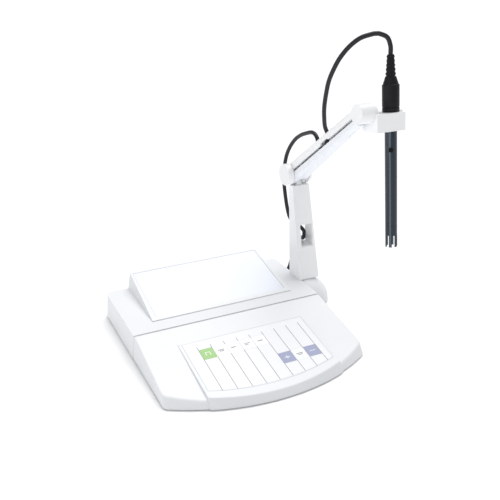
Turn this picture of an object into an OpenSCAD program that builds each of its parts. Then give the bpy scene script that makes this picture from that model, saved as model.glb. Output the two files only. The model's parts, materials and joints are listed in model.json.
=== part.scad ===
// Bench meter with a sloping keypad, a raised display and a two-link arm that carries a pH electrode.
// Millimetres. The seam between the front and rear covers is y = 0, the table is z = 0.

/* [Housing] */
// Overall width of the housing
body_w = 220; // [216:1:230]
// Distance from the seam to the rear edge
rear_len = 108; // [106:1:112]
// Distance from the seam to the middle of the bowed front edge
front_len = 124; // [122:1:128]
// Radius of the bowed front edge
bow_r = 210; // [190:5:240]
// Height of the covers at the seam
seam_h = 29; // [28:0.5:30]
// Wall thickness of the covers
wall = 2.4; // [2:0.1:3]
// Corner radius of the housing in plan
corner_r = 8; // [6:0.5:10]

/* [Keypad] */
// Half width of the raised keypad panel
pad_half_w = 71.5; // [70:0.5:74]
// Rear edge of the keypad panel
pad_rear = -27; // [-30:0.5:-25]
// Width of one keypad column
column_w = 14.4; // [14:0.1:14.6]
// Travel of a key
key_travel = 0.5; // [0.3:0.1:0.6]

/* [Display] */
// Front edge of the raised display
disp_front = 19; // [18:0.5:22]
// Width of the raised display
disp_w = 165; // [155:1:170]
// Height of the top rear edge of the display
disp_h = 48; // [44:0.5:50]
// Rear face of the raised display
disp_rear = 106.2; // [104:0.1:106.4]

/* [Post and arm] */
// Left face of the post and of the links
arm_x = 105.6; // [105.4:0.1:106]
// Elbow centre, distance behind the seam
elbow_y = 68; // [67:0.5:69]
// Elbow centre, height
elbow_z = 151; // [150:0.5:153]
// Distance between the elbow centre and the head centre
arm_len = 161.5; // [158:0.5:165]
// Rise of the arm above the horizontal at rest
arm_rise = 36.4; // [34:0.2:38]
// Half the distance between the two pins at each end of the links
pin_off = 4.8; // [4.6:0.1:5]
// Radius of the pins
pin_r = 1.5; // [1.4:0.1:1.6]

/* [Electrode] */
// Diameter of the electrode shaft
shaft_d = 12; // [11.8:0.1:12.2]
// Lean of the electrode, with its tip towards the front
lean = 8; // [6:0.5:9]
// Electrode axis, distance to the right of the middle of the housing
probe_x = 142.2; // [141:0.2:144]

/* [Cord] */
// Diameter of the electrode cord
cord_d = 4.4; // [4.2:0.1:4.6]

/* [Hidden] */

$fn = 48;
eps = 0.01;
seam_gap = 0.8;      // open groove between the front and rear covers
base_z = 1.5;        // lower edge of the covers
floor_z = 4.4;       // top of the bottom cover's floor
draft = 1.9;         // how far the covers lean in over their height
bow_top = 15;        // how far the bow leans back by the height of the seam
pad_slope = atan(0.162);
side_slope = 0.192;  // fall of the covers beside the keypad panel
pad_cos = cos(pad_slope);
plate_t = 0.8;
key_t = 2 - key_travel;
key_gap = 0.15;
first_line = -55;    // left edge of the first keypad column
top_keys = [-58.4, -43];
low_keys = [-90.7, -75.3];

cover_color = [0.93, 0.935, 0.95];
arm_color = [0.96, 0.965, 0.98];
dark = [0.13, 0.13, 0.15];

// ---------- housing ----------

// Plan outline of the housing, shrunk by inset, with its bow reaching y = -bow
module outline(inset, bow)
    offset(r = corner_r) offset(delta = -corner_r - inset)
        intersection() {
            translate([-body_w / 2, -200]) square([body_w, 200 + rear_len]);
            translate([0, bow_r - bow]) circle(r = bow_r, $fn = 180);
        }

// Tapered block that both covers are cut from
module block(inset, grow = 0)
    hull() {
        translate([0, 0, base_z]) linear_extrude(eps) outline(inset, front_len + grow);
        translate([0, 0, seam_h]) linear_extrude(eps)
            outline(inset + draft, front_len + grow - bow_top);
    }

// Everything under a top that falls from the seam towards the front at the given slope
module under_slope(slope, drop, half_w, y_rear)
    rotate([90, 0, 90]) translate([0, 0, -half_w])
        linear_extrude(2 * half_w)
            polygon([[-140, 0], [y_rear, 0], [y_rear, seam_h + slope * y_rear - drop],
                [-140, seam_h - slope * 140 - drop]]);

module front_solid(inset, drop)
    intersection() {
        block(inset, 1.6);
        union() {
            intersection() {
                block(inset);
                under_slope(side_slope, drop, body_w, -seam_gap / 2 - inset);
            }
            under_slope(tan(pad_slope), drop, pad_half_w - inset, pad_rear - inset);
        }
    }

// Places children on the keypad panel: local x is across, y is up the slope, z is outwards
module on_pad() translate([0, 0, seam_h]) rotate([pad_slope, 0, 0]) children();

module plate_outline(inset)
    intersection() {
        translate([-68 + inset, -140]) square([136 - 2 * inset, 140 + (pad_rear - 3) / pad_cos - inset]);
        translate([0, (bow_r - front_len + 11 + inset) / pad_cos]) circle(r = bow_r, $fn = 180);
    }

function column_x(i) = first_line + i * column_w;

module key_outline(column, rows, inset)
    translate([column_x(column) + inset, rows[0] / pad_cos + inset])
        square([column_w - 2 * inset, (rows[1] - rows[0]) / pad_cos - 2 * inset]);

module all_keys(inset) {
    for (i = [0:4]) key_outline(i, top_keys, inset);
    for (i = [5:7]) key_outline(i, low_keys, inset);
}

screw_places = [[-96, -56], [96, -56], [-96, 20], [92, 8], [-96, 94], [96, 76]];
foot_places = [[0, 0], [-92, -78], [92, -78], [-92, 78], [88, 92]];
board_holes = [[-70, 30], [70, 30], [-70, 92], [70, 92]];
ear_x = 116;
ear_y = 46;
ear_r = 29.5;

// Quarter of a squashed circle: the side of the domed foot under the post
function dome(r, h) = [for (a = [0:7.5:90]) [r * cos(a), base_z + 1 + (h - base_z - 1) * sin(a)]];

module ear(inset)
    translate([ear_x, ear_y, 0]) rotate_extrude($fn = 96)
        polygon(concat([[0, base_z], [ear_r - inset, base_z]], dome(ear_r - inset, seam_h - inset)));

// Boss inside a cover that a screw from below goes into
module cover_boss(p) translate([p[0], p[1], floor_z + 3.2]) cylinder(r = 3.6, h = 30);

module boss_hole(p) translate([p[0], p[1], floor_z]) cylinder(r = 1.45, h = 11);

// Opens the two facing walls at the seam for the floor plate and the wiring
module floor_passage() {
    translate([-107.5, -5, 0]) cube([215, 10, floor_z + 0.3]);
    translate([-60, -5, 0]) cube([120, 10, 20]);
}

module front_cover() color(cover_color)
    difference() {
        front_solid(0, 0);
        difference() {
            translate([0, 0, -eps]) front_solid(wall, wall);
            for (i = [0, 1]) cover_boss(screw_places[i]);
        }
        for (i = [0, 1]) boss_hole(screw_places[i]);
        floor_passage();
        on_pad() translate([0, 0, -plate_t]) linear_extrude(5) plate_outline(0);
        on_pad() translate([0, 0, -6]) linear_extrude(8) all_keys(-0.6);
    }

module rear_cover() color(cover_color)
    difference() {
        union() {
            intersection() {
                block(0);
                translate([-150, seam_gap / 2, 0]) cube([300, 150, seam_h]);
            }
            ear(0);
        }
        difference() {
            union() {
                intersection() {
                    translate([0, 0, -eps]) block(wall);
                    translate([-150, seam_gap / 2 + wall, 0]) cube([300, 150, seam_h - wall]);
                }
                translate([0, 0, -eps]) intersection() {
                    ear(wall);
                    cube([200, 90, seam_h - wall]);
                }
            }
            translate([post_mid_x, post_mid_y, 12]) cylinder(r = 10, h = 20);
            for (i = [2:5]) cover_boss(screw_places[i]);
        }
        for (i = [2:5]) boss_hole(screw_places[i]);
        floor_passage();
        translate([post_mid_x, post_mid_y, 11]) cylinder(r = 6.1, h = 20);
        translate([-76, 103, 7.5]) cube([152, 7.2, 18]);
        translate([-62, 30, 20]) cube([124, 60, 20]);
    }

module bottom_cover() color(cover_color)
    difference() {
        union() {
            translate([0, 0, base_z + 0.4]) linear_extrude(floor_z - base_z - 0.4)
                outline(wall + 0.3, front_len - 1.6);
            translate([ear_x, ear_y, base_z + 0.4])
                cylinder(r = ear_r - wall - 0.4, h = floor_z - base_z - 0.4);
            for (p = screw_places) translate([p[0], p[1], floor_z - eps]) cylinder(r = 3.6, h = 3);
            for (p = board_holes) translate([p[0], p[1], floor_z - eps]) cylinder(r = 3, h = 4);
        }
        for (p = screw_places) translate([p[0], p[1], 0]) cylinder(r = 1.6, h = 20);
        for (p = screw_places) translate([p[0], p[1], 0]) cylinder(r = 3.1, h = 3.6);
        for (p = board_holes) translate([p[0], p[1], floor_z + 0.4]) cylinder(r = 1.25, h = 8);
        for (p = foot_places) translate([p[0], p[1], 0]) cylinder(r = 6.2, h = 3);
        translate([post_mid_x, post_mid_y, 0]) cylinder(r = 1.8, h = 20);
        translate([post_mid_x, post_mid_y, 0]) cylinder(r = 3.4, h = 3.4);
        for (i = [-4:4]) translate([i * 9 - 1.2, 40, 0]) cube([2.4, 26, 10]);
    }

module rubber_feet() color(dark)
    for (p = foot_places) translate([p[0], p[1], 0]) {
        cylinder(r1 = 5.4, r2 = 6.2, h = 0.8);
        translate([0, 0, 0.8]) cylinder(r = 6.2, h = 2.2);
    }

module cover_screws() color("silver")
    for (p = screw_places) translate([p[0], p[1], 0])
        difference() {
            union() {
                translate([0, 0, 2.4]) cylinder(r = 2.8, h = 1.2);
                translate([0, 0, 3.5]) cylinder(r = 1.4, h = 11);
            }
            for (a = [0, 90]) rotate(a) translate([-1.8, -0.3, 2]) cube([3.6, 0.6, 1]);
        }

// ---------- keypad ----------

module keypad_plate() color([0.94, 0.945, 0.95])
    on_pad() translate([0, 0, -plate_t]) linear_extrude(plate_t) difference() {
        plate_outline(0.15);
        all_keys(0);
    }

// Contact sheet under the keys, with a dome below each one
module key_contacts() color([0.75, 0.78, 0.72])
    on_pad() {
        translate([-62, -94, -3.4]) cube([126, 56, 0.8 - eps]);
        for (i = [0:7]) translate([column_x(i) + column_w / 2, i < 5 ? -51.4 : -84, -2.62])
            cylinder(r1 = 3.4, r2 = 2.2, h = 0.3);
    }

module key(column, rows, tint) color(tint)
    on_pad() translate([0, 0, -key_t]) linear_extrude(key_t) key_outline(column, rows, key_gap);

// ---------- display ----------

lip = 1.2;           // height of the display's front edge
lean_in = 3;         // how far its sides lean in over its height
recess = 1.4;        // depth of the recess that the window lies in
disp_slope = atan((disp_h - seam_h - lip) / (disp_rear - disp_front));
disp_run = (disp_rear - disp_front) / cos(disp_slope);

// Places children on the display face, measured from its front edge
module on_face() translate([1, disp_front, seam_h + lip]) rotate([disp_slope, 0, 0]) children();

module display_housing() color(cover_color)
    difference() {
        hull() {
            translate([1 - disp_w / 2, disp_front, seam_h + 2 * eps])
                cube([disp_w, disp_rear - disp_front, lip - 2 * eps]);
            translate([1 - disp_w / 2 + lean_in, disp_rear - eps, disp_h - eps])
                cube([disp_w - 2 * lean_in, eps, eps]);
        }
        // hollow behind the display cell
        translate([1 - 75, 0, 0]) rotate([90, 0, 90]) linear_extrude(150)
            polygon([[36, seam_h - 1], [disp_rear - wall, seam_h - 1], [disp_rear - wall, disp_h - 4],
                [36, seam_h + 1]]);
        on_face() translate([-77, 5, -recess]) cube([154, disp_run - 8, 8]);
        on_face() translate([-64, 24, -8]) cube([128, 46, 12]);
    }

module display_window() color([0.92, 0.93, 0.96])
    on_face() translate([-76.8, 5.2, -recess]) cube([153.6, disp_run - 8.4, recess - 0.2]);

module lcd_module() color([0.35, 0.38, 0.36])
    on_face() {
        translate([-59, 27, -4.2]) cube([118, 40, 2.6]);
        translate([-60, 25, -6.6]) cube([120, 44, 2.4 + eps]);
    }

module display_ribbon() color([0.8, 0.8, 0.78])
    translate([-20, 0, 0]) rotate([90, 0, 90]) linear_extrude(30)
        polygon([[60, board_top + eps], [60.3, board_top + eps], [66.3, 29.4], [66.3, 32.9],
            [66, 32.9], [66, 29.5]]);

// ---------- electronics ----------

board_t = 1.6;
board_z = floor_z + 4;
board_top = board_z + board_t;

module main_board() color([0.16, 0.38, 0.24])
    difference() {
        translate([-78, 24, board_z]) cube([156, 74, board_t]);
        for (p = board_holes) translate([p[0], p[1], 0]) cylinder(r = 1.7, h = 20);
    }

module board_parts() color(dark) {
    translate([-10, 44, board_top + eps]) cube([14, 14, 1.6]);
    translate([-50, 50, board_top + eps]) cube([10, 6, 1.6]);
    translate([30, 40, board_top + eps]) cube([10, 6, 1.6]);
    translate([50, 56, board_top + eps]) cylinder(r = 4, h = 8);
    translate([40, 70, board_top + eps]) cylinder(r = 3, h = 7);
    translate([-60, 66, board_top + eps]) cube([18, 10, 7]);
}

module board_screws() color("silver")
    for (p = board_holes) translate([p[0], p[1], 0]) {
        translate([0, 0, board_top + eps]) cylinder(r = 2.4, h = 1.4);
        translate([0, 0, board_top - 5]) cylinder(r = 1.2, h = 5.2);
    }

// ---------- rear connectors ----------

panel_y = 104.4;     // front face of the connector panel
panel_t = 2;
socket_z = 16.5;
bnc_x = 56;
ref_x = 30;
temp_x = 8;
power_x = -48;

// Cylinder that points backwards from the connector panel
module back_rod(x, r, from, to)
    translate([x, from, socket_z]) rotate([-90, 0, 0]) cylinder(r = r, h = to - from);

module connector_panel() color([0.86, 0.87, 0.88])
    difference() {
        translate([-75.8, panel_y, 7.7]) cube([151.6, panel_t, 17.6]);
        back_rod(bnc_x, 4.8, 90, 120);
        back_rod(ref_x, 3.4, 90, 120);
        back_rod(temp_x, 3.1, 90, 120);
        back_rod(power_x, 4.3, 90, 120);
    }

module bnc_socket() color("silver")
    difference() {
        union() {
            back_rod(bnc_x, 4.7, 97, 119);
            back_rod(bnc_x, 7, panel_y + panel_t + eps, 108.4);
            back_rod(bnc_x, 6.6, 101.6, panel_y - eps);
            translate([bnc_x - 5.6, 116, socket_z]) rotate([0, 90, 0]) cylinder(r = 0.9, h = 11.2);
        }
        back_rod(bnc_x, 3.6, 110, 125);
    }

module reference_socket() color([0.2, 0.2, 0.22])
    difference() {
        union() {
            back_rod(ref_x, 3.3, 95, 110);
            back_rod(ref_x, 5, panel_y + panel_t + eps, 110);
        }
        back_rod(ref_x, 2, 97, 125);
    }

module temperature_socket() color("silver")
    difference() {
        union() {
            back_rod(temp_x, 3, 94, 108.6);
            back_rod(temp_x, 4.2, panel_y + panel_t + eps, 108.6);
        }
        back_rod(temp_x, 1.75, 96, 125);
    }

module power_inlet() color(dark)
    difference() {
        union() {
            back_rod(power_x, 4.2, 93, 108.2);
            back_rod(power_x, 5.6, panel_y + panel_t + eps, 108.2);
        }
        difference() {
            back_rod(power_x, 2.8, 97, 125);
            back_rod(power_x, 1.05, 90, 107);
        }
    }

// ---------- post ----------

post_bottom = 29;
post_top = 138.4;
post_mid_x = 118;
post_mid_y = 50;
lug_x = [112.4, 118.4];

// Side view of the post, as [y, z]
post_side = [[37.5, post_bottom], [62.5, post_bottom], [66.5, 100], [69.5, post_top], [60, post_top]];

module post_blank()
    intersection() {
        translate([100, 0, 0]) rotate([90, 0, 90]) linear_extrude(40) polygon(post_side);
        translate([0, 80, 0]) rotate([90, 0, 0]) linear_extrude(60)
            polygon([[arm_x, 0], [131.6, 0], [131.4, post_bottom], [126.8, post_top], [arm_x, post_top]]);
    }

module post_window() translate([111.6, 0, 67]) cube([15.2, 100, 26]);

module post() color(arm_color)
    difference() {
        union() {
            post_blank();
            translate([post_mid_x, post_mid_y, 13]) cylinder(r = 6, h = post_bottom - 13 + 1);
            // tongue that carries the two elbow pins between the link walls
            translate([lug_x[0], 0, 0]) rotate([90, 0, 90]) linear_extrude(lug_x[1] - lug_x[0])
                union() {
                    polygon([[61, post_top - 4], [69.4, post_top - 4], [elbow_y + 4, elbow_z - pin_off],
                        [elbow_y + 4, elbow_z + pin_off], [elbow_y - 4, elbow_z + pin_off],
                        [elbow_y - 4, elbow_z - pin_off]]);
                    translate([elbow_y, elbow_z + pin_off]) circle(r = 4);
                }
        }
        post_window();
        post_back_space(0);
        translate([post_mid_x, post_mid_y, 0]) cylinder(r = 1.3, h = 24);
        for (s = [-1, 1]) translate([90, elbow_y, elbow_z + s * pin_off])
            rotate([0, 90, 0]) cylinder(r = pin_r, h = 50);
    }

// Shallow pocket in the rear of the post, closed by its back plate
module post_back_space(inset)
    translate([arm_x + 3 + inset, 0, 0]) rotate([90, 0, 90]) linear_extrude(15 - 2 * inset)
        polygon([[56, 36 + inset], [70, 36 + inset], [70, 61 - inset], [56, 61 - inset]]);

module post_back() color(arm_color)
    intersection() {
        post_back_space(0.15);
        post_blank();
    }

module post_screws() color("silver")
    translate([post_mid_x, post_mid_y, 0]) {
        translate([0, 0, 2]) cylinder(r = 3.1, h = 1.4 - eps);
        translate([0, 0, 3.3]) cylinder(r = 1.25, h = 18);
    }

// ---------- elbow and links ----------

link_end_r = 11;     // the links are 22 deep over both at the elbow
head_depth = 8.6;    // and a little over 17 at the head
link_gap = 1.45;     // half the gap between the two links at rest
link_wall = 2;
elbow_right = 125.4;
head_right = 115.2;
cap_left = [98.2, arm_x - 0.35];
cap_right = [elbow_right + 0.35, 128.4];
head_r = 9.7;
head_x = [103.4, 117.6];
head_y = elbow_y - arm_len * cos(arm_rise);
head_z = elbow_z + arm_len * sin(arm_rise);
pin_s = pin_off * sin(arm_rise);
pin_p = pin_off * cos(arm_rise);
eye_x = [108.4, 112.6];
lower_by = 34;       // travel of the arm below its rest
raise_by = 14;       // and above it

// Local frame of the arm: x runs from the elbow to the head, y is square to it and up, z is to the left
module arm_frame()
    translate([0, elbow_y, elbow_z]) rotate([90 - arm_rise, 0, 0]) rotate([0, -90, 0]) children();

// Bar of rectangular section that tapers from elbow to head, side = 1 above the gap and -1 below it
module link_bar(side, inset, round_r) {
    low = link_gap + (inset > 0 ? -5 : 0);
    s0 = -14 + inset;
    s1 = arm_len + 2;
    hull() for (e = [[s0, link_end_r, elbow_right], [s1, head_depth, head_right]]) {
        out = e[1] - inset;
        r = round_r;
        for (z = [-arm_x - inset - r, -e[2] + inset + r])
            translate([e[0], side * (out - r), z]) rotate([0, 90, 0]) cylinder(r = r, h = eps, $fn = 32);
        for (z = [-arm_x - inset - eps, -e[2] + inset]) translate([e[0], side * low, z]) cube(eps);
    }
}

// What the end of a link clears at the head as it turns about its own head pin
module head_sweep(side)
    for (a = [-raise_by:6:lower_by]) translate([arm_len + side * pin_s, side * pin_p, -140]) rotate([0, 0, a])
        translate([-side * pin_s, -side * pin_p, 0]) cylinder(r = head_r + 0.5, h = 60);

module pin_bore(s, p, r) translate([s, p, -140]) cylinder(r = r, h = 60);

module link(side, round_r)
    difference() {
        union() {
            difference() {
                intersection() {
                    link_bar(side, 0, round_r);
                    // the elbow end is cut to eight-sided inside the caps' outline
                    translate([0, 0, -140]) linear_extrude(60)
                        polygon([[-11.6, -4.9], [-11.6, 4.9], [-7.3, 10.2], [-2.6, 13], [arm_len + 10, 13],
                            [arm_len + 10, -13], [-2.6, -13], [-7.3, -10.2]]);
                }
                link_bar(side, link_wall, max(round_r - link_wall, 0.6));
                head_sweep(side);
            }
            // eye that enters the head
            translate([arm_len + side * pin_s, side * pin_p, -eye_x[1]])
                cylinder(r = 3.1, h = eye_x[1] - eye_x[0]);
            translate([arm_len - 22, side * pin_p - 2.2, -eye_x[1]])
                cube([22 + side * pin_s, 4.4, eye_x[1] - eye_x[0]]);
            translate([arm_len - 24, side > 0 ? 1.6 : -8, -eye_x[1]])
                cube([10.8, 6.4, eye_x[1] - eye_x[0]]);
            // bosses round the elbow pin
            translate([side * pin_s, side * pin_p, -arm_x - 5]) cylinder(r = 3.2, h = 4.9);
            translate([side * pin_s, side * pin_p, -elbow_right + 0.1]) cylinder(r = 3.2, h = 5);
        }
        pin_bore(side * pin_s, side * pin_p, pin_r + 0.06);
        pin_bore(arm_len + side * pin_s, side * pin_p, pin_r + 0.06);
    }

module upper_link() color(arm_color)
    arm_frame() difference() {
        link(1, 2.6);
        // slot in the top that the cord dips through
        translate([cord_s - 15, 4, -cord_x - 3]) cube([30, 12, 6]);
        // notch in the left wall, over the gap, that the cord shows through
        translate([cord_s, 0, -arm_x - link_wall - 1]) linear_extrude(link_wall + 2)
            polygon([[-3, 1], [1, 3.4], [14, 3.4], [17, 1]]);
    }

module lower_link() color(arm_color)
    arm_frame() difference() {
        link(-1, 4.2);
        // notch that clears the tongue of the post
        translate([-16, -16, -lug_x[1] - 0.5]) cube([25, 16, lug_x[1] - lug_x[0] + 1]);
    }

module elbow_pins() color("silver")
    for (s = [-1, 1]) translate([cap_left[0] + 1.4, elbow_y, elbow_z + s * pin_off]) rotate([0, 90, 0])
        cylinder(r = pin_r, h = cap_right[1] - cap_left[0] - 2.4);

module elbow_cap(x, inner) color(arm_color)
    difference() {
        translate([x[0], elbow_y, elbow_z]) rotate([0, 90, 0])
            cylinder(r = 12.3, h = x[1] - x[0], $fn = 96);
        for (s = [-1, 1]) translate([inner, elbow_y, elbow_z + s * pin_off])
            rotate([0, 90, 0]) cylinder(r = pin_r, h = 10);
    }

module elbow_cap_left() elbow_cap(cap_left, cap_left[0] + 1.4);

module elbow_cap_right() elbow_cap(cap_right, cap_right[1] - 1 - 10);

// ---------- head and holder ----------

module head_block() color(arm_color)
    difference() {
        translate([head_x[0], head_y, head_z])
            rotate([0, 90, 0]) cylinder(r = head_r, h = head_x[1] - head_x[0], $fn = 96);
        // slot that the link eyes turn in, open to the rear
        translate([eye_x[0] - 0.4, head_y, head_z]) rotate([90, 0, 90]) linear_extrude(5) union() {
            circle(r = 8.5);
            polygon([[0, 7.8], [12, 7.8], [12, -14], [4.5, -14], [-2.3, -6.6]]);
        }
        for (s = [-1, 1]) translate([105, head_y, head_z + s * pin_off])
            rotate([0, 90, 0]) cylinder(r = pin_r, h = 10.6);
    }

module head_pins() color("silver")
    for (s = [-1, 1]) translate([105, head_y, head_z + s * pin_off])
        rotate([0, 90, 0]) cylinder(r = pin_r, h = 10.6);

// Local frame of the electrode: z runs up its axis, the origin is at the height of the head centre
module probe_frame() translate([probe_x, head_y, head_z]) rotate([-lean, 0, 0]) children();

clip_top = -1;
clip_bottom = -18;
bore_r = shaft_d / 2 + 0.15;
front_jaw = 150 - probe_x;
rear_jaw = 160 - probe_x;
jaw_half = 12.5;

module electrode_holder() color(arm_color)
    probe_frame() difference() {
        union() {
            translate([117.8 - probe_x, -jaw_half, clip_bottom])
                cube([front_jaw - 117.8 + probe_x, 2 * jaw_half, clip_top - clip_bottom]);
            translate([0, bore_r - 1, clip_bottom])
                cube([rear_jaw, jaw_half - bore_r + 1, clip_top - clip_bottom]);
            translate([head_x[1] + 0.01 - probe_x, 0, 0]) rotate([0, 90, 0]) cylinder(r = 6.5, h = 6);
        }
        translate([0, 0, -40]) cylinder(r = bore_r, h = 80);
        // snap-in mouth between the jaws
        translate([0, -bore_r * 0.8, -40]) cube([60, bore_r * 1.6, 80]);
        // second hole for a spare electrode or probe
        translate([127 - probe_x, 0, -40]) cylinder(r = 3.1, h = 80);
    }

// ---------- electrode ----------

cap_r = 8.3;
tip_z = -135;
guard_z = -117;
plug_z = -36.8;
plug_turn = 37;

// Stands children at the filling hole, pointing out of the shaft
module at_plug() translate([0, 0, plug_z]) rotate([0, 0, -plug_turn]) rotate([90, 0, 0]) children();

module electrode_body() color([0.3, 0.38, 0.46, 0.7])
    probe_frame() difference() {
        translate([0, 0, guard_z + 4]) cylinder(r = shaft_d / 2, h = clip_top - guard_z - 4);
        translate([0, 0, guard_z - 10]) cylinder(r = 5, h = 150);
        at_plug() translate([0, 0, 3]) cylinder(r = 2.4, h = 5);
    }

module inner_tube() color([0.75, 0.8, 0.86, 0.6])
    probe_frame() difference() {
        translate([-0.4, 0, guard_z + 2]) cylinder(r = 2.6, h = clip_top - guard_z - 2);
        translate([-0.4, 0, guard_z]) cylinder(r = 1.9, h = 150);
    }

module glass_bulb() color([0.8, 0.88, 0.92, 0.5])
    probe_frame() translate([-0.4, 0, guard_z - 2.2]) sphere(r = 4.3);

module tip_guard() color([0.35, 0.4, 0.45])
    probe_frame() difference() {
        translate([0, 0, tip_z]) cylinder(r = shaft_d / 2, h = 22 - 0.01);
        translate([0, 0, tip_z - 1]) cylinder(r = 4.9, h = 40);
        for (a = [0:60:120]) rotate([0, 0, a + 15]) translate([-10, -1.6, tip_z - 1]) cube([20, 3.2, 13]);
    }

module fill_plug() color("black")
    probe_frame() at_plug() translate([0, 0, 3.2]) cylinder(r = 2.35, h = 3.4);

module electrode_cap() color([0.16, 0.16, 0.2])
    probe_frame() {
        translate([0, 0, clip_top + eps]) cylinder(r = cap_r, h = 25 - clip_top);
        translate([0, 0, 25]) cylinder(r1 = cap_r, r2 = 5, h = 7);
    }

module strain_relief() color([0.14, 0.14, 0.17])
    probe_frame() {
        translate([0, 0, 32 + eps]) cylinder(r1 = 4.4, r2 = 3.2, h = 20);
        for (i = [0:4]) translate([0, 0, 33.4 + i * 4]) cylinder(r = 4.9 - 0.28 * i, h = 2);
    }

// ---------- cord ----------

cord_s = 82;         // where the cord dips into the upper link, measured along the arm
cord_x = 110.4;

// Route points, chosen by hand
loop_route = [[142.2, -54.7, 298.4], [142.1, -53.6, 306], [139, -52, 313.5], [132, -50, 317],
    [128, -49.3, 317.4], [124, -48.5, 317], [114, -45, 313.5], [106, -40, 306], [99.5, -35, 295.5],
    [96, -30, 284], [95, -24, 272], [96.2, -18, 258], [98.6, -12, 244], [102.2, -7, 232], [106, -3, 222],
    [110.2, -1.2, 214], [110.4, -1, 205.5], [110.4, -0.2, 201.5], [110.4, 1.5, 198.5], [110.4, 3.8, 196.6],
    [110.4, 6.2, 196], [110.4, 8, 196]];
elbow_route = [[110.4, 8, 196], [110.4, 9.8, 196], [110.4, 12.2, 196.6], [110.4, 14.5, 198.5],
    [110.4, 16.6, 201], [110.4, 18.6, 204], [110.6, 21.8, 206.3], [110.8, 26.5, 207.6], [111, 33, 207],
    [111, 42.5, 203.8], [111, 54, 199], [111, 66, 191.6], [111, 77, 181], [111, 85, 169.4],
    [111, 89.5, 156.6], [111, 91, 143], [111, 90, 130], [111, 86.5, 117], [111.5, 82.5, 104],
    [112.5, 78, 94], [114, 71, 89.8], [116, 64, 88.6], [118, 58.5, 86], [119.2, 55.4, 83.6],
    [119.5, 54.7, 81.6], [119.5, 54.7, 80]];
rear_route = [[119.5, 54.7, 80], [119.5, 54.7, 78.4], [119.7, 55.6, 76], [120.6, 59, 72.6], [121.8, 64, 70.6],
    [123, 71, 69.6], [124.2, 78.5, 67.5], [124.8, 84, 62], [125, 87.5, 53], [125, 90.5, 40], [125, 94.5, 26],
    [124.4, 100.5, 13], [121.5, 108.5, 4.6], [116, 116.5, 2.4], [108.5, 125, 2.4], [99.5, 133.5, 2.4],
    [91, 141, 2.4]];
plug_lead = [[56, 143, 16.5], [56, 150, 16.3], [57.5, 157, 14.8], [61.5, 163, 12.8], [68, 167.2, 10.8],
    [76, 167.6, 8.4]];
coil_x = 60;
coil_y = 143;
coil_mid_r = 25;
coil_h = 8.8;

function unit(v) = v / norm(v);
function tangent(p, i) = unit(p[min(i + 1, len(p) - 1)] - p[max(i - 1, 0)]);
function side_of(t) = unit(cross(t, abs(t[2]) > 0.9 ? [0, 1, 0] : [0, 0, 1]));

// Carries the first ring's side along the route, so that the tube doesn't twist
function sides(p, i = 0, last = [0, 0, 0]) =
    i >= len(p) ? [] :
    let (t = tangent(p, i), s = i == 0 ? side_of(t) : unit(last - t * (last * t)))
    concat([s], sides(p, i + 1, s));

module tube(p, d, n = 10) {
    s = sides(p);
    points = [for (i = [0:len(p) - 1]) let (t = tangent(p, i), u = s[i], v = cross(t, u))
        for (k = [0:n - 1]) p[i] + d / 2 * (cos(360 * k / n) * u + sin(360 * k / n) * v)];
    last = (len(p) - 1) * n;
    walls = [for (i = [0:len(p) - 2]) for (k = [0:n - 1])
        [i * n + k, i * n + (k + 1) % n, (i + 1) * n + (k + 1) % n, (i + 1) * n + k]];
    polyhedron(points, concat([[for (k = [n - 1:-1:0]) k]], walls, [[for (k = [0:n - 1]) last + k]]));
}

module cord_loop() color(dark) tube(loop_route, cord_d);

module cord_elbow() color(dark) tube(elbow_route, cord_d);

module cord_rear() color(dark) {
    tube(rear_route, cord_d);
    tube(plug_lead, cord_d);
}

module cord_coil() color(dark)
    translate([coil_x, coil_y, 0.2]) rotate_extrude()
        translate([coil_mid_r - cord_d, 0]) square([2 * cord_d, coil_h]);

module bnc_plug() color("silver") {
    difference() {
        back_rod(bnc_x, 7.2, 109, 124);
        back_rod(bnc_x, 4.8, 100, 119.2);
        translate([bnc_x - 6, 112.9, socket_z - 1.1]) cube([12, 4.4, 2.2]);
    }
    back_rod(bnc_x, 5, 124 - eps, 131);
    translate([bnc_x, 131 - eps, socket_z]) rotate([-90, 0, 0]) cylinder(r1 = 4.6, r2 = 3, h = 12);
}

// ---------- assembly ----------

bottom_cover();
front_cover();
rear_cover();
display_housing();
display_window();
lcd_module();
keypad_plate();
key_contacts();
main_board();
board_parts();
display_ribbon();
board_screws();
cover_screws();
rubber_feet();
connector_panel();
bnc_socket();
reference_socket();
temperature_socket();
power_inlet();
post();
post_back();
post_screws();
elbow_pins();
elbow_cap_left();
elbow_cap_right();
upper_link();
lower_link();
head_block();
head_pins();
electrode_holder();
electrode_body();
inner_tube();
glass_bulb();
tip_guard();
fill_plug();
electrode_cap();
strain_relief();
cord_loop();
cord_elbow();
cord_rear();
cord_coil();
bnc_plug();
key(0, top_keys, [0.57, 0.78, 0.45]);  // power_key
key(1, top_keys, [0.98, 0.98, 0.97]);  // upper_key_1
key(2, top_keys, [0.98, 0.98, 0.97]);  // upper_key_2
key(3, top_keys, [0.98, 0.98, 0.97]);  // upper_key_3
key(4, top_keys, [0.98, 0.98, 0.97]);  // upper_key_4
key(5, low_keys, [0.58, 0.6, 0.78]);  // lower_key_left
key(6, low_keys, [0.98, 0.98, 0.97]);  // lower_key_middle
key(7, low_keys, [0.58, 0.6, 0.78]);  // lower_key_right
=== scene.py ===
import json
import math

import bmesh
import bpy
from mathutils import Matrix, Vector

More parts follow.
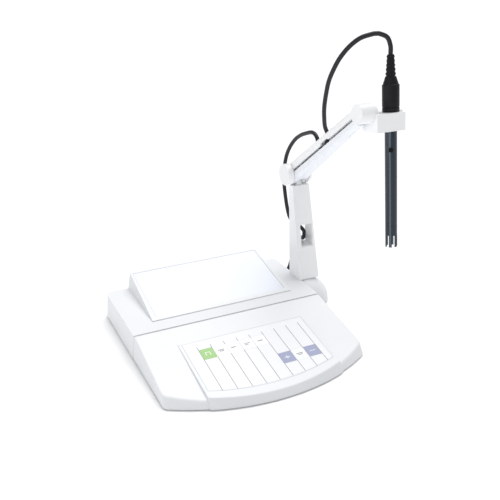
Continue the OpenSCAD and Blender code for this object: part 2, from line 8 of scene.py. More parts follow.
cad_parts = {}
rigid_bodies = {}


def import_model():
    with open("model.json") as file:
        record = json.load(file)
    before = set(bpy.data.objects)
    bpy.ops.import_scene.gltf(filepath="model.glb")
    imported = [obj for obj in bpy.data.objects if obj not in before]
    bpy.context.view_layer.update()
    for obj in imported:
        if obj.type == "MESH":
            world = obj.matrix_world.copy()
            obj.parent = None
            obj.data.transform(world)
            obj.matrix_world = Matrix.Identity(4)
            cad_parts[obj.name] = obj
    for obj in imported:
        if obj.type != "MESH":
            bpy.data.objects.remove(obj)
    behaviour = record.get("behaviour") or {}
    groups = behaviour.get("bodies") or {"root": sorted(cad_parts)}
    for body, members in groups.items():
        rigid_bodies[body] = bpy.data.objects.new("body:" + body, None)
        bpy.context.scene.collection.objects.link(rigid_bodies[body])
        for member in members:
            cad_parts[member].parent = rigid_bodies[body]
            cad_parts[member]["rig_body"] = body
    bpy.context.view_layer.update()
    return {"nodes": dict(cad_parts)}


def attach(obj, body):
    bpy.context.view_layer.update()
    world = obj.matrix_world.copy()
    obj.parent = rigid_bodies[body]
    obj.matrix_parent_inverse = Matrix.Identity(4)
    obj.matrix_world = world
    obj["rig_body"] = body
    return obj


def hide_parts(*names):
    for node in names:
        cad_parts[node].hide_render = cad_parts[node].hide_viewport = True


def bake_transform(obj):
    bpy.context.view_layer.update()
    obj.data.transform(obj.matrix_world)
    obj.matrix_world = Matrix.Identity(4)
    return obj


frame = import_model()

MM = 0.001
scene = bpy.context.scene
nodes = frame["nodes"]

# ---------- camera ----------

camera = bpy.data.objects.new("camera", bpy.data.cameras.new("camera"))
scene.collection.objects.link(camera)
scene.camera = camera
camera.data.sensor_width = 36
camera.data.lens = 50.98
camera.data.clip_start = 0.01
camera.data.clip_end = 20
RIGHT = Vector((0.9011, -0.4337, 0))
UP = Vector((0.17639, 0.36650, 0.91355))
BACK = Vector((-0.3962, -0.8231, 0.4067))
CAMERA_AT = (-0.2706, -0.6094, 0.4004)
camera.matrix_world = Matrix.Translation(CAMERA_AT) @ Matrix((RIGHT, UP, BACK)).transposed().to_4x4()


# ---------- shader helpers ----------

class Num:
    """A number inside a material, which ordinary arithmetic works on."""

    def __init__(self, finish, socket):
        self.finish = finish
        self.socket = socket

    def op(self, kind, *others, first=None):
        node = self.finish.nodes.new("ShaderNodeMath")
        node.operation = kind
        values = ([] if first is None else [first]) + [self] + list(others)
        for socket, value in zip(node.inputs, values):
            self.finish.give(socket, value)
        return Num(self.finish, node.outputs[0])

    def __add__(self, other):
        return self.op("ADD", other)

    def __radd__(self, other):
        return self.op("ADD", other)

    def __sub__(self, other):
        return self.op("SUBTRACT", other)

    def __rsub__(self, other):
        return self.op("SUBTRACT", first=other)

    def __mul__(self, other):
        return self.op("MULTIPLY", other)

    def __truediv__(self, other):
        return self.op("DIVIDE", other)

    def __gt__(self, other):
        return self.op("GREATER_THAN", other)

    def __lt__(self, other):
        return self.op("LESS_THAN", other)

    def __abs__(self):
        return self.op("ABSOLUTE")

    def near(self, low, high):
        """1 between low and high, 0 outside."""
        return (self > low) * (self < high)


class Finish:
    """One material: a Principled surface and the nodes that vary it."""

    def __init__(self, name, color, roughness, **constants):
        self.material = bpy.data.materials.new(name)
        self.material.use_nodes = True
        self.nodes = self.material.node_tree.nodes
        self.links = self.material.node_tree.links
        self.surface = next(n for n in self.nodes if n.type == "BSDF_PRINCIPLED")
        for key, value in constants.items():
            self.surface.inputs[key.replace("_", " ")].default_value = value
        self.color = color
        self.roughness = roughness
        self.space = self.node("ShaderNodeTexCoord").outputs["Object"]
        split = self.node("ShaderNodeSeparateXYZ", Vector=self.space)
        # millimetres along X, Y and Z
        self.x, self.y, self.z = (Num(self, split.outputs[i]) * 1000 for i in range(3))

    def give(self, socket, value):
        if isinstance(value, Num):
            self.links.new(value.socket, socket)
        elif isinstance(value, bpy.types.NodeSocket):
            self.links.new(value, socket)
        else:
            socket.default_value = value

    def node(self, kind, **inputs):
        node = self.nodes.new(kind)
        for key, value in inputs.items():
            self.give(node.inputs[key.replace("_", " ")], value)
        return node

    def noise(self, scale, detail):
        texture = self.node("ShaderNodeTexNoise", Vector=self.space, Scale=scale, Detail=detail)
        return Num(self, texture.outputs[0])

    def mix(self, share, a, b):
        node = self.nodes.new("ShaderNodeMix")
        node.data_type = "RGBA"
        self.give(node.inputs[0], share)
        self.give(node.inputs[6], a)
        self.give(node.inputs[7], b)
        return node.outputs[2]

    def done(self, color=None, grain=0.0, grain_scale=900, height=0.00004, tint=0.03, rough_by=0.06):
        """Adds slow changes of shade and gloss and a fine grain, and closes the material."""
        slow = self.noise(14, 3.0)
        base = self.color if color is None else color
        if not isinstance(base, bpy.types.NodeSocket):
            dark = [c * (1 - tint) for c in base[:3]] + [1]
            light = [min(1.0, c * (1 + tint)) for c in base[:3]] + [1]
            base = self.mix(slow, dark, light)
        self.give(self.surface.inputs["Base Color"], base)
        fine = self.noise(grain_scale, 1.0)
        roughness = self.roughness - rough_by + slow * rough_by + fine * rough_by
        self.give(self.surface.inputs["Roughness"], roughness)
        if grain:
            bump = self.node("ShaderNodeBump", Strength=grain, Distance=height, Height=fine)
            self.give(self.surface.inputs["Normal"], bump.outputs[0])
        return self.material


def rgb(*values):
    """Display values from 0 to 255 as the linear colour that nodes take."""
    return [((v / 255 + 0.055) / 1.055) ** 2.4 if v > 10 else v / 255 / 12.92 for v in values] + [1.0]


cover_white = Finish("cover_white", rgb(231, 233, 236), 0.42).done(grain=0.35, height=0.00003)
arm_white = Finish("arm_white", rgb(250, 251, 253), 0.34).done(grain=0.15, height=0.00002)
# a slightly darker, bluer copy of arm_white for the lower link: painted shade on its underside
lower_link_shaded_white = Finish("lower_link_shaded_white", rgb(244, 247, 253), 0.36).done(grain=0.15, height=0.00002)
window_film = Finish("window_film", rgb(230, 234, 244), 0.30).done(tint=0.012, grain=0.05)
panel_grey = Finish("panel_grey", rgb(196, 199, 204), 0.45).done(grain=0.3)
black_plastic = Finish(
    "black_plastic", rgb(20, 20, 27), 0.45, Specular_IOR_Level=0.25).done(grain=0.3, tint=0.1)
rubber_dark = Finish(
    "rubber_dark", rgb(20, 20, 26), 0.6, Specular_IOR_Level=0.25).done(grain=0.5, tint=0.12)
cord_grey = Finish(
    "cord_grey", rgb(32, 33, 38), 0.45, Specular_IOR_Level=0.35).done(grain=0.35, grain_scale=600, tint=0.1)
screw_steel = Finish("screw_steel", rgb(190, 190, 194), 0.3, Metallic=1.0).done(grain=0.1)
bright_metal = Finish("bright_metal", rgb(205, 205, 208), 0.2, Metallic=1.0).done(grain=0.05)
board_green = Finish("board_green", rgb(40, 110, 66), 0.35).done(tint=0.15)
contact_film = Finish("contact_film", rgb(200, 203, 190), 0.4).done()
display_glass = Finish("display_glass", rgb(132, 140, 134), 0.15).done(tint=0.05)


def tinted_tube():
    """A dark glossy tube with two thin upright streaks at fixed X, painted highlights: a wide pale one left
    of the axis and a thin blue one near the right edge.
    """
    dark, pale, blue = rgb(22, 34, 48), rgb(104, 122, 138), rgb(84, 112, 136)
    wide_highlight_band, wide_highlight_share = (137.4, 138.5), 0.55
    edge_highlight_band, edge_highlight_share = (145.5, 146.3), 0.45
    finish = Finish("shaft_tint", dark, 0.15, Specular_IOR_Level=0.3, Coat_Weight=0.3, Coat_Roughness=0.05)
    # painted highlight streaks on the shaft, set by fixed X bands rather than by the lamps
    color = finish.mix(finish.x.near(*wide_highlight_band) * wide_highlight_share, dark, pale)
    color = finish.mix(finish.x.near(*edge_highlight_band) * edge_highlight_share, color, blue)
    return finish.done(color)


shaft_tint = tinted_tube()
plug_black = Finish("plug_black", rgb(8, 8, 10), 0.6, Specular_IOR_Level=0.2).done()
clear_glass = Finish(
    "clear_glass", rgb(205, 220, 230), 0.05, Transmission_Weight=0.85, IOR=1.48).done(rough_by=0.01)

PAD_RISE = 0.162            # the keypad's rise per length, to the rear
PAD_SLOPE = math.atan(PAD_RISE)
SEAM_H = 29.0               # height of the seam between the covers
FIRST_LINE = -55.0          # the keypad's leftmost printed line
COLUMN = 14.4               # from each printed line to the next
UPPER_ROW = -50.7           # middles of the two rows of keys
LOWER_ROW = -83


def up_the_pad(finish):
    """Millimetres up the keypad's slope, 0 at the seam."""
    return finish.y * math.cos(PAD_SLOPE) + (finish.z - SEAM_H) * math.sin(PAD_SLOPE)


def keypad_film():
    """A pale film with upright printed lines, which end along a bow at the front, and a greyer border."""
    pale, ink, grey = rgb(237, 238, 241), rgb(70, 74, 86), rgb(172, 177, 188)
    line_half, line_share, border_share = 0.3, 0.85, 0.3
    lines_from, lines_to, lines_top = -56, 61, -38.8
    film_half, film_top, border_width = 67.3, -30.9, 0.7
    film = Finish("keypad_film", pale, 0.4)
    v = up_the_pad(film)
    turns = (film.x - FIRST_LINE) / COLUMN + 0.5
    away = abs(turns.op("FRACT") - 0.5) * COLUMN
    lines_bow = film.x * film.x / 560 - 110.4
    line = (away < line_half) * film.x.near(lines_from, lines_to) * (v < lines_top) * (v - lines_bow > 0)
    film_bow = film.x * film.x / 424 - 111.0
    border = 1 - (film.x.near(-film_half, film_half) * (v < film_top) * (v - film_bow > border_width))
    color = film.mix(line * line_share, pale, ink)
    color = film.mix(border * border_share, color, grey)
    return film.done(color, grain=0.12, height=0.00002)


def key_face(name, color, ink, column, row_centre, marks):
    """A key's colour with plain printed marks, each given as its left, right, lower and upper edge."""
    lighter_by = 5
    key = Finish(name, rgb(*color), 0.42)
    u = key.x - (FIRST_LINE + COLUMN * (column + 0.5))
    v = up_the_pad(key) - row_centre / math.cos(PAD_SLOPE)
    printed = 0.0
    for u0, u1, v0, v1 in marks:
        printed = u.near(u0, u1) * v.near(v0, v1) + printed
    face = key.mix(key.noise(18, 2.0), rgb(*color), rgb(*[min(255, c + lighter_by) for c in color]))
    return key.done(key.mix(printed, face, rgb(*ink)), grain=0.12, height=0.00002)


# ---------- mesh helpers ----------

def link(obj):
    scene.collection.objects.link(obj)
    return obj


def from_mesh(name, mesh, material):
    mesh.materials.clear()
    mesh.materials.append(material)
    mesh.name = name
    return link(bpy.data.objects.new(name, mesh))


def smooth(mesh, angle):
    """Smooth shading, apart from edges that turn more than angle degrees."""
    mesh.shade_smooth()
    mesh.set_sharp_from_angle(angle=math.radians(angle))


def plain(obj, name, material):
    """The finished mesh of obj with its modifiers, as a new object; obj goes."""
    graph = bpy.context.evaluated_depsgraph_get()
    mesh = bpy.data.meshes.new_from_object(
        obj.evaluated_get(graph), preserve_all_data_layers=True, depsgraph=graph)
    old = obj.data
    bpy.data.objects.remove(obj)
    if old.users == 0:
        (bpy.data.curves if isinstance(old, bpy.types.Curve) else bpy.data.meshes).remove(old)
    return from_mesh(name, mesh, material)


WELD = 3e-6                      # points nearer than this become one, in metres
FLAT = math.radians(0.7)         # faces nearer than this to one plane become one
SHARP = math.radians(32)         # edges that turn more than this are rounded or stay sharp


def soften(node, name, material, width):
    """A piece in a CAD node's shape. Its sharp edges are rounded by width millimetres, or stay if it is 0."""
    mesh = nodes[node].data.copy()
    work = bmesh.new()
    work.from_mesh(mesh)
    bmesh.ops.remove_doubles(work, verts=work.verts, dist=WELD)
    bmesh.ops.dissolve_limit(work, angle_limit=FLAT, verts=work.verts, edges=work.edges)
    bmesh.ops.recalc_face_normals(work, faces=work.faces)
    work.to_mesh(mesh)
    work.free()
    obj = link(bpy.data.objects.new(name + "_work", mesh))
    mesh.shade_smooth()
    if width:
        bevel = obj.modifiers.new("edges", "BEVEL")
        bevel.width = width * MM
        bevel.segments = 3
        bevel.limit_method = "ANGLE"
        bevel.angle_limit = SHARP
        bevel.use_clamp_overlap = True
        bevel.harden_normals = False
        weigh = obj.modifiers.new("normals", "WEIGHTED_NORMAL")
        weigh.keep_sharp = True
        weigh.weight = 80
    else:
        mesh.set_sharp_from_angle(angle=SHARP)
    made = plain(obj, name, material)
    body = nodes[node]["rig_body"]
    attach(made, body)
    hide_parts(node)
    return made


def rings_mesh(name, rings, material, close_start=False):
    """Joins closed rings of the same number of points into one skin, closed at its last ring."""
    count = len(rings[0])
    points = [p for ring in rings for p in ring]
    faces = []
    for i in range(len(rings) - 1):
        for k in range(count):
            n = (k + 1) % count
            faces.append((i * count + k, i * count + n, (i + 1) * count + n, (i + 1) * count + k))
    if close_start:
        faces.append(tuple(range(count - 1, -1, -1)))
    last = (len(rings) - 1) * count
    faces.append(tuple(range(last, last + count)))
    mesh = bpy.data.meshes.new(name)
    mesh.from_pydata([[c * MM for c in p] for p in points], [], faces)
    smooth(mesh, 35)
    return from_mesh(name, mesh, material)


def curved_path(points, steps=8):
    """A smooth path through the route's points, in metres."""
    p = [Vector(q) * MM for q in points]
    p = [2 * p[0] - p[1]] + p + [2 * p[-1] - p[-2]]
    path = []
    for i in range(1, len(p) - 2):
        for k in range(steps):
            t = k / steps
            a, b, c, d = p[i - 1:i + 3]
            square = (2 * a - 5 * b + 4 * c - d) * t ** 2
            cube = (3 * b - a - 3 * c + d) * t ** 3
            path.append(0.5 * (2 * b + (c - a) * t + square + cube))
    path.append(p[-2])
    return path


def length_of(path):
    return sum((path[i + 1] - path[i]).length for i in range(len(path) - 1))


# ---------- node trees for what follows a path or repeats ----------

def new_tree(name, numbers):
    """An empty geometry tree with a mesh in, named numbers and a material, and the maker of its nodes."""
    tree = bpy.data.node_groups.new(name, "GeometryNodeTree")
    face = tree.interface
    face.new_socket("Geometry", in_out="INPUT", socket_type="NodeSocketGeometry")
    ids = {}
    for label, kind in numbers.items():
        ids[label] = face.new_socket(label, in_out="INPUT", socket_type=kind).identifier
    ids["Material"] = face.new_socket("Material", in_out="INPUT", socket_type="NodeSocketMaterial").identifier
    face.new_socket("Geometry", in_out="OUTPUT", socket_type="NodeSocketGeometry")
    entry = tree.nodes.new("NodeGroupInput")

    def add(kind, settings=(), **inputs):
        node = tree.nodes.new(kind)
        for key, value in dict(settings).items():
            setattr(node, key, value)
        for key, value in inputs.items():
            socket = node.inputs[key.replace("_", " ")]
            if isinstance(value, bpy.types.NodeSocket):
                tree.links.new(value, socket)
            else:
                socket.default_value = value
        return node

    def close(geometry):
        real = add("GeometryNodeRealizeInstances", Geometry=geometry)
        painted = add("GeometryNodeSetMaterial", Geometry=real.outputs[0], Material=entry.outputs["Material"])
        out = tree.nodes.new("NodeGroupOutput")
        tree.links.new(painted.outputs[0], out.inputs[0])

    return tree, ids, entry, add, close


def tube_tree():
    """A round tube with closed ends along the mesh's edges."""
    tree, ids, entry, add, close = new_tree(
        "tube_on_path", {"Radius": "NodeSocketFloat", "Sides": "NodeSocketInt"})
    curve = add("GeometryNodeMeshToCurve", Mesh=entry.outputs[0])
    circle = add("GeometryNodeCurvePrimitiveCircle", Radius=entry.outputs["Radius"],
                 Resolution=entry.outputs["Sides"])
    skin = add("GeometryNodeCurveToMesh", Curve=curve.outputs[0], Profile_Curve=circle.outputs[0],
               Fill_Caps=True)
    soft = add("GeometryNodeSetShadeSmooth", Geometry=skin.outputs[0])
    close(soft.outputs[0])
    return tree, ids


def row_tree():
    """Copies of the mesh in a row, each a given share of the size of the one before."""
    tree, ids, entry, add, close = new_tree(
        "row_of_copies", {"Count": "NodeSocketInt", "Step": "NodeSocketVector", "Shrink": "NodeSocketFloat"})
    line = add("GeometryNodeMeshLine", Count=entry.outputs["Count"], Offset=entry.outputs["Step"])
    index = add("GeometryNodeInputIndex")
    size = add("ShaderNodeMath", {"operation": "POWER"})
    tree.links.new(entry.outputs["Shrink"], size.inputs[0])
    tree.links.new(index.outputs[0], size.inputs[1])
    copies = add("GeometryNodeInstanceOnPoints", Points=line.outputs[0], Instance=entry.outputs[0],
                 Scale=size.outputs[0])
    close(copies.outputs[0])
    return tree, ids


def run_tree(source, tree, ids, values, name, material):
    """What a node tree makes of source, as a new object; source goes."""
    modifier = source.modifiers.new("shape", "NODES")
    modifier.node_group = tree
    for label, value in {**values, "Material": material}.items():
        modifier[ids[label]] = value
    return plain(source, name, material)


TUBE, TUBE_IDS = tube_tree()
ROW, ROW_IDS = row_tree()


def path_object(name, path):
    """A path as a mesh of edges."""
    mesh = bpy.data.meshes.new(name)
    mesh.from_pydata([tuple(p) for p in path], [(i, i + 1) for i in range(len(path) - 1)], [])
    return link(bpy.data.objects.new(name, mesh))


def tube(name, path, radius, sides, material):
    values = {"Radius": radius * MM, "Sides": sides}
    return run_tree(path_object(name + "_path", path), TUBE, TUBE_IDS, values, name, material)


# ---------- cord ----------

CORD_D = 4.4
CORD_SIDES = 20
LOOP = [[142.2, -54.7, 298.4], [142.1, -53.6, 306], [139, -52, 313.5], [132, -50, 316.8],
        [128, -49.3, 317.2], [124, -48.5, 316.8], [114, -45, 313.5], [106, -40, 306],
        [99.5, -35, 295.5], [96, -30, 284], [95, -24, 272], [96.2, -18, 258], [98.6, -12, 244],
        [102.2, -7, 232], [106, -3, 222], [110.2, -1.2, 214], [110.4, -1, 205.5], [110.4, -0.2, 201.5],
        [110.4, 1.5, 198.5], [110.4, 3.8, 196.6], [110.4, 6.2, 196], [110.4, 8, 196]]
ELBOW = [[110.4, 8, 196], [110.4, 9.8, 196], [110.4, 12.2, 196.6], [110.4, 14.5, 198.5],
         [110.4, 16.6, 201], [110.4, 18.6, 204], [110.6, 21.8, 206.3], [110.8, 26.5, 207.6],
         [111, 33, 207], [111, 42.5, 203.8], [111, 54, 199], [111, 66, 191.6], [111, 77, 181],
         [111, 85, 169.4], [111, 89.5, 156.6], [111, 91, 143], [111, 90, 130], [111, 86.5, 117],
         [111.5, 82.5, 104], [112.5, 78, 94], [114, 71, 89.8], [116, 64, 88.6], [118, 58.5, 86],
         [119.2, 55.4, 83.6], [119.5, 54.7, 81.6], [119.5, 54.7, 80]]
REAR = [[119.5, 54.7, 80], [119.5, 54.7, 78.4], [119.7, 55.6, 76], [120.6, 59, 72.6],
        [121.8, 64, 70.6], [123, 71, 69.6], [124.2, 78.5, 67.5], [124.8, 84, 62], [125, 87.5, 53],
        [125, 90.5, 40], [125, 94.5, 26], [124.4, 100.5, 13], [121.5, 108.5, 4.6], [116, 116.5, 2.4],
        [108.5, 125, 2.4], [99.5, 133.5, 2.4], [92.5, 140.8, 2.4], [88.2, 147.8, 2.4]]
LEAD = [[75.5, 165.4, 7.6], [69.5, 167.6, 9.6], [63, 165.5, 12.2], [58.2, 159, 14.6],
        [56.1, 151, 16.2], [56, 143, 16.5]]
COIL = (60.0, 143.0)                        # the coil's middle
COIL_TURNS = (25.0, 3 * 360 + 44.0)         # its first and last angle, in degrees
COIL_OUT, COIL_IN, COIL_BACK = 27.3, 20.6, 27.0
COIL_LOW = 2.4                              # height of the cord's middle on the table
COIL_STEPS = 110


def coil_points():
    """The coiled length: inwards along the table, then up, then outwards on top of it."""
    first, last = COIL_TURNS
    in_by, out_from = 0.47, 0.53            # shares of the coil where it is fully in and turns out again
    up_from, up_for = 0.45, 0.1
    turns = []
    for i in range(COIL_STEPS + 1):
        a = first + (last - first) * i / COIL_STEPS
        t = (a - first) / (last - first)
        if t < in_by:
            r = COIL_OUT - (COIL_OUT - COIL_IN) * t / in_by
        elif t < out_from:
            r = COIL_IN
        else:
            r = COIL_IN + (COIL_BACK - COIL_IN) * (t - out_from) / (1 - out_from)
        rise = min(1.0, max(0.0, (t - up_from) / up_for))
        z = COIL_LOW + CORD_D * rise * rise * (3 - 2 * rise)
        turn = math.radians(a)
        turns.append([COIL[0] + r * math.cos(turn), COIL[1] + r * math.sin(turn), z])
    return turns


loop_path = curved_path(LOOP)
elbow_path = curved_path(ELBOW)
rear_path = curved_path(REAR + coil_points() + LEAD, 5)

plug = soften("bnc_plug", "plug_skin", bright_metal, 0.4)
cord_loop = tube("cord_loop_skin", loop_path, CORD_D / 2, CORD_SIDES, cord_grey)
cord_elbow = tube("cord_elbow_skin", elbow_path, CORD_D / 2, CORD_SIDES, cord_grey)
cord_rear = tube("cord_rear_skin", rear_path, CORD_D / 2, CORD_SIDES, cord_grey)
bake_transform(cord_loop)
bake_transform(cord_elbow)
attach(cord_rear, "base")
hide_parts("cord_loop")
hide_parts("cord_elbow")
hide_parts("cord_rear", "cord_coil")
length_of(loop_path)
length_of(elbow_path)
length_of(rear_path)

# ---------- covers ----------

BODY_HALF = 110.0
FRONT = 124.0        # from the origin to the middle of the bow
BOW_R = 210.0
BASE_Z = 1.5         # the cover's lower edge over the table
DRAFT = 1.9          # how far the walls lean in up to the seam
BOW_TOP = 15.0       # how far the bow leans back up to the seam
PAD_HALF = 68.1      # the keypad plate and the bow of its front
PAD_REAR = -29.9
PAD_CENTRE = 102.5
PAD_BOW_R = 212.9


def plan(half, rear, centre, radius, corner):
    """Outline with straight sides, a bowed front and rounded corners, from the rear left round."""
    side_steps, corner_steps, bow_steps = 6, 8, 72
    cx = half - corner
    cy = centre - math.sqrt((radius - corner) ** 2 - cx ** 2)
    start = math.atan2(cy - centre, -cx)
    left = [(-half, rear + (cy - rear) * i / side_steps) for i in range(side_steps)]
    end = start + 2 * math.pi
    bend = [(-cx + corner * math.cos(a), cy + corner * math.sin(a))
            for a in (math.pi + (end - math.pi) * i / corner_steps for i in range(corner_steps))]
    angles = [end + (3 * math.pi - 2 * end) * i / bow_steps for i in range(bow_steps + 1)]
    bow = [(radius * math.cos(a), centre + radius * math.sin(a)) for a in angles]
    half_way = left + bend
    return half_way + bow + [(-x, y) for x, y in reversed(half_way)]


def shell(name, half, rear, grow, corner, slope, round_r, side_draft, material, plate=None):
    """Cover whose walls lean in, with a rounded edge and a top that falls to the front."""
    def outline(height, inset):
        f = (height - BASE_Z) / (SEAM_H - BASE_Z)
        lean = DRAFT * f
        return plan(half - inset - side_draft * f, rear - inset, BOW_R - FRONT - grow + BOW_TOP * f,
                    BOW_R - inset - lean, max(corner - inset * 0.3, 0.4))

    def ring(inset, height_of):
        level = [BASE_Z] * len(outline(BASE_Z, 0))
        for _ in range(6):
            spots = [outline(h, inset)[i] for i, h in enumerate(level)]
            level = [height_of(x, y) for x, y in spots]
        return [(x, y, h) for (x, y), h in zip(spots, level)]

    def top(x, y):
        return SEAM_H + slope * y

    # the lower edge: up inside, across the wall, and round to the outside
    foot = [(2.4, 2.8), (2.4, 0), (0.5, 0), (0.14, 0.15), (0, 0.5)]
    wall_foot = BASE_Z + foot[-1][1]
    rings = [ring(inset, lambda x, y, rise=rise: BASE_Z + rise) for inset, rise in foot]
    for share in (0.25, 0.5, 0.75):
        rings.append(ring(0, lambda x, y, s=share: wall_foot + (top(x, y) - round_r - wall_foot) * s))
    for k in range(7):
        a = math.radians(15 * k)
        inset, drop = round_r * (1 - math.cos(a)), round_r * (1 - math.sin(a))
        rings.append(ring(inset, lambda x, y, drop=drop: top(x, y) - drop))
    if plate:
        for drop in (0, 0.7):
            rings.append([(x, y, top(x, y) - drop) for x, y in plate])
    return rings_mesh(name, rings, material)


def front_cover():
    low = shell("front_cover_skin", BODY_HALF, rear=-0.4, grow=0, corner=8.0, slope=0.192, round_r=1.6,
                side_draft=DRAFT, material=cover_white)
    plate = plan(PAD_HALF, PAD_REAR, PAD_CENTRE, PAD_BOW_R, 0.4)
    pad = shell("keypad_rise", 71.5, rear=-27, grow=1.6, corner=1.4, slope=PAD_RISE, round_r=0.75,
                side_draft=0.0, material=cover_white, plate=plate)
    for piece in (low, pad):
        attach(piece, "base")
    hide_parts("front_cover")


front_cover()
soften("rear_cover", "rear_cover_skin", cover_white, 1.1)
soften("display_housing", "display_frame", cover_white, 0.8)
soften("display_window", "display_sheet", window_film, 0.35)

# ---------- arm ----------

for node, width in (("post", 0.7), ("upper_link", 0), ("lower_link", 0), ("elbow_cap_left", 0.9),
                    ("elbow_cap_right", 0.9), ("head_block", 0.8), ("electrode_holder", 0.7)):
    # the lower link takes the darker copy of the arm's white, as painted shade
    material = lower_link_shaded_white if node == "lower_link" else arm_white
    soften(node, node + "_skin", material, width)

# ---------- electrode ----------

LEAN = math.radians(8)
PROBE = Vector((142.2, -61.99, 246.84)) * MM        # the electrode's axis, level with the head's centre
PROBE_TURN = Matrix.Translation(PROBE) @ Matrix.Rotation(-LEAN, 4, "X")
SHAFT_R, CAP_R, GROOVE_R = 6.0, 8.3, 7.9
SHAFT_LOW, CLIP_TOP = -113, -1
RIB_COUNT, RIB_STEP, RIB_SHRINK, FIRST_RIB = 5, 4, 0.935, 33.4


def circles(profile, around):
    """Rings of points round the Z axis, one for each pair of radius and height."""
    return [[(r * math.cos(2 * math.pi * k / around), r * math.sin(2 * math.pi * k / around), z)
             for k in range(around)] for r, z in profile]


def turned(name, profile, material):
    """A turned piece on the electrode's axis. The profile is radius and height pairs, in millimetres."""
    obj = rings_mesh(name, circles(profile, 64), material, close_start=True)
    obj.data.transform(PROBE_TURN)
    obj.data.update()
    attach(obj, "head")
    return obj


def edge(r, z, size, outer_up):
    """Quarter-round points at a turned edge, going up: into the top if outer_up, else from the bottom."""
    steps = 4
    pts = []
    for k in range(steps + 1):
        a = math.radians(90 * k / steps)
        if outer_up:
            pts.append((r - size + size * math.cos(a), z - size + size * math.sin(a)))
        else:
            pts.append((r - size + size * math.sin(a), z + size - size * math.cos(a)))
    return pts


shaft_side = [(SHAFT_R, z) for z in range(SHAFT_LOW + 6, CLIP_TOP - 1, 7)]
shaft = turned("shaft_tube",
               edge(SHAFT_R, SHAFT_LOW, 0.3, False) + shaft_side + edge(SHAFT_R, CLIP_TOP, 0.3, True),
               shaft_tint)
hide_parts("electrode_body")
cap = turned("electrode_cap_skin",
             edge(CAP_R, CLIP_TOP + 0.01, 0.6, False)
             + [(CAP_R, 3.0), (GROOVE_R, 3.2), (GROOVE_R, 3.8), (CAP_R, 4.0)]
             + edge(CAP_R, 24.6, 0.7, True) + [(5.6, 30.6)] + edge(5.4, 32, 0.6, True), black_plastic)
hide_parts("electrode_cap")
sleeve = turned("relief_sleeve", [(4.3, 31.8), (4.4, 32.6), (3.3, 51.4), (2.9, 52.0)], rubber_dark)
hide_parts("strain_relief")
rib_profile = [(3.2, 0)] + edge(4.9, 0, 0.5, False) + edge(4.9, 2, 0.5, True) + [(3.2, 2)]
rib = rings_mesh("rib_work", circles(rib_profile, 48), rubber_dark, close_start=True)
row = {"Count": RIB_COUNT, "Step": (0.0, 0.0, RIB_STEP * MM), "Shrink": RIB_SHRINK}
ribs = run_tree(rib, ROW, ROW_IDS, row, "relief_ribs", rubber_dark)
ribs.data.transform(PROBE_TURN @ Matrix.Translation((0, 0, FIRST_RIB * MM)))
smooth(ribs.data, 40)
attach(ribs, "head")
soften("tip_guard", "tip_guard_skin", shaft_tint, 0.25)

# ---------- materials on what the CAD model already shapes ----------

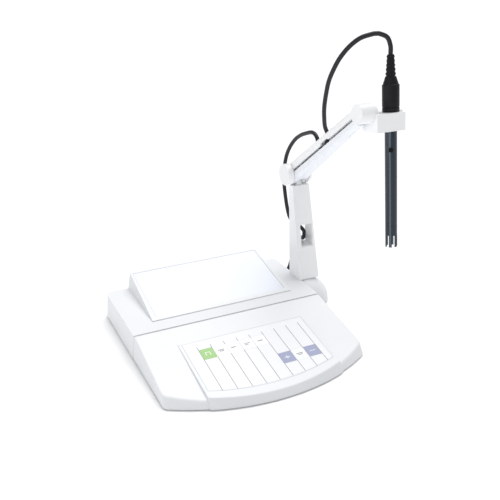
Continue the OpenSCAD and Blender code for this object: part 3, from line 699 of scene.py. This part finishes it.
PLAIN = {
    "bottom_cover": cover_white, "lcd_module": display_glass, "key_contacts": contact_film,
    "main_board": board_green, "board_parts": black_plastic, "display_ribbon": contact_film,
    "board_screws": screw_steel, "cover_screws": screw_steel, "rubber_feet": rubber_dark,
    "connector_panel": panel_grey, "bnc_socket": bright_metal, "reference_socket": black_plastic,
    "temperature_socket": bright_metal, "power_inlet": black_plastic, "post_back": arm_white,
    "post_screws": screw_steel, "elbow_pins": screw_steel, "head_pins": screw_steel,
    "inner_tube": clear_glass, "glass_bulb": clear_glass, "fill_plug": plug_black,
    "keypad_plate": keypad_film(),
}
WHITE, GREEN, BLUE, INK = (240, 241, 243), (155, 199, 124), (154, 159, 191), (60, 62, 70)
KEYS = {
    "power_key": (GREEN, (245, 248, 243), 0, UPPER_ROW,
                  [(-2.6, -1.9, -2.4, 2.4), (-1.9, 1.9, 1.7, 2.4), (1.9, 2.6, -2.4, 2.4)]),
    "upper_key_1": (WHITE, INK, 1, UPPER_ROW, [(-3.4, 3.4, 0.4, 1.3), (-2.2, 2.2, -1.6, -0.7)]),
    "upper_key_2": (WHITE, INK, 2, UPPER_ROW, [(-3.6, 1.2, -0.5, 0.5)]),
    "upper_key_3": (WHITE, INK, 3, UPPER_ROW, [(-3.2, 3.2, 0.5, 1.2), (-3.2, 0.6, -1.4, -0.7)]),
    "upper_key_4": (WHITE, INK, 4, UPPER_ROW, [(-2.8, 2.8, -0.5, 0.4)]),
    "lower_key_left": (BLUE, (240, 241, 246), 5, LOWER_ROW, [(-3.2, 3.2, -0.4, 0.4), (-0.4, 0.4, -2.4, 2.4)]),
    "lower_key_middle": (WHITE, INK, 6, LOWER_ROW, [(-3.4, 3.4, 0.5, 1.3), (-2.4, 2.4, -1.5, -0.7)]),
    "lower_key_right": (BLUE, (240, 241, 246), 7, LOWER_ROW, [(-3.2, 3.2, -0.4, 0.4)]),
}
for name, (color, ink, column, centre, marks) in KEYS.items():
    PLAIN[name] = key_face(name + "_face", color, ink, column, centre, marks)
for name, material in PLAIN.items():
    nodes[name].data.materials.clear()
    nodes[name].data.materials.append(material)

# ---------- floor, light ----------

floor_finish = Finish("floor_finish", rgb(252, 252, 253), 0.8, Specular_IOR_Level=0.1).done(tint=0.004)
floor_mesh = bpy.data.meshes.new("floor")
FLOOR_HALF = 40
corners = [(FLOOR_HALF * a, FLOOR_HALF * b, 0) for a, b in ((-1, -1), (1, -1), (1, 1), (-1, 1))]
floor_mesh.from_pydata(corners, [], [(0, 1, 2, 3)])
floor = from_mesh("floor", floor_mesh, floor_finish)


def soft_light(name, at, towards, width, height, power):
    lamp = bpy.data.lights.new(name, "AREA")
    lamp.shape = "RECTANGLE"
    lamp.size = width
    lamp.size_y = height
    lamp.energy = power
    obj = link(bpy.data.objects.new(name, lamp))
    obj.location = at
    obj.rotation_mode = "QUATERNION"
    obj.rotation_quaternion = (Vector(towards) - Vector(at)).to_track_quat("-Z", "Y")


soft_light("fill_light", (-1.5, -1.6, 1.2), (0, 0, 0.1), width=1.2, height=1.2, power=4.5)
soft_light("side_light", (-1.0, -0.1, 0.5), (0.14, -0.06, 0.2), width=0.25, height=1.0, power=1.6)
MAIN_DIRECTION = (-0.30, -0.27, -0.91)
main_light = bpy.data.lights.new("main_light", "SUN")
main_light.energy = 2.25
main_light.angle = math.radians(50)
main = link(bpy.data.objects.new("main_light", main_light))
main.rotation_mode = "QUATERNION"
main.rotation_quaternion = Vector(MAIN_DIRECTION).to_track_quat("-Z", "Y")
world = bpy.data.worlds.new("studio")
scene.world = world
world.use_nodes = True
world.node_tree.nodes["Background"].inputs["Color"].default_value = (1, 1, 1, 1)
world.node_tree.nodes["Background"].inputs["Strength"].default_value = 0.44
scene.view_settings.view_transform = "Standard"
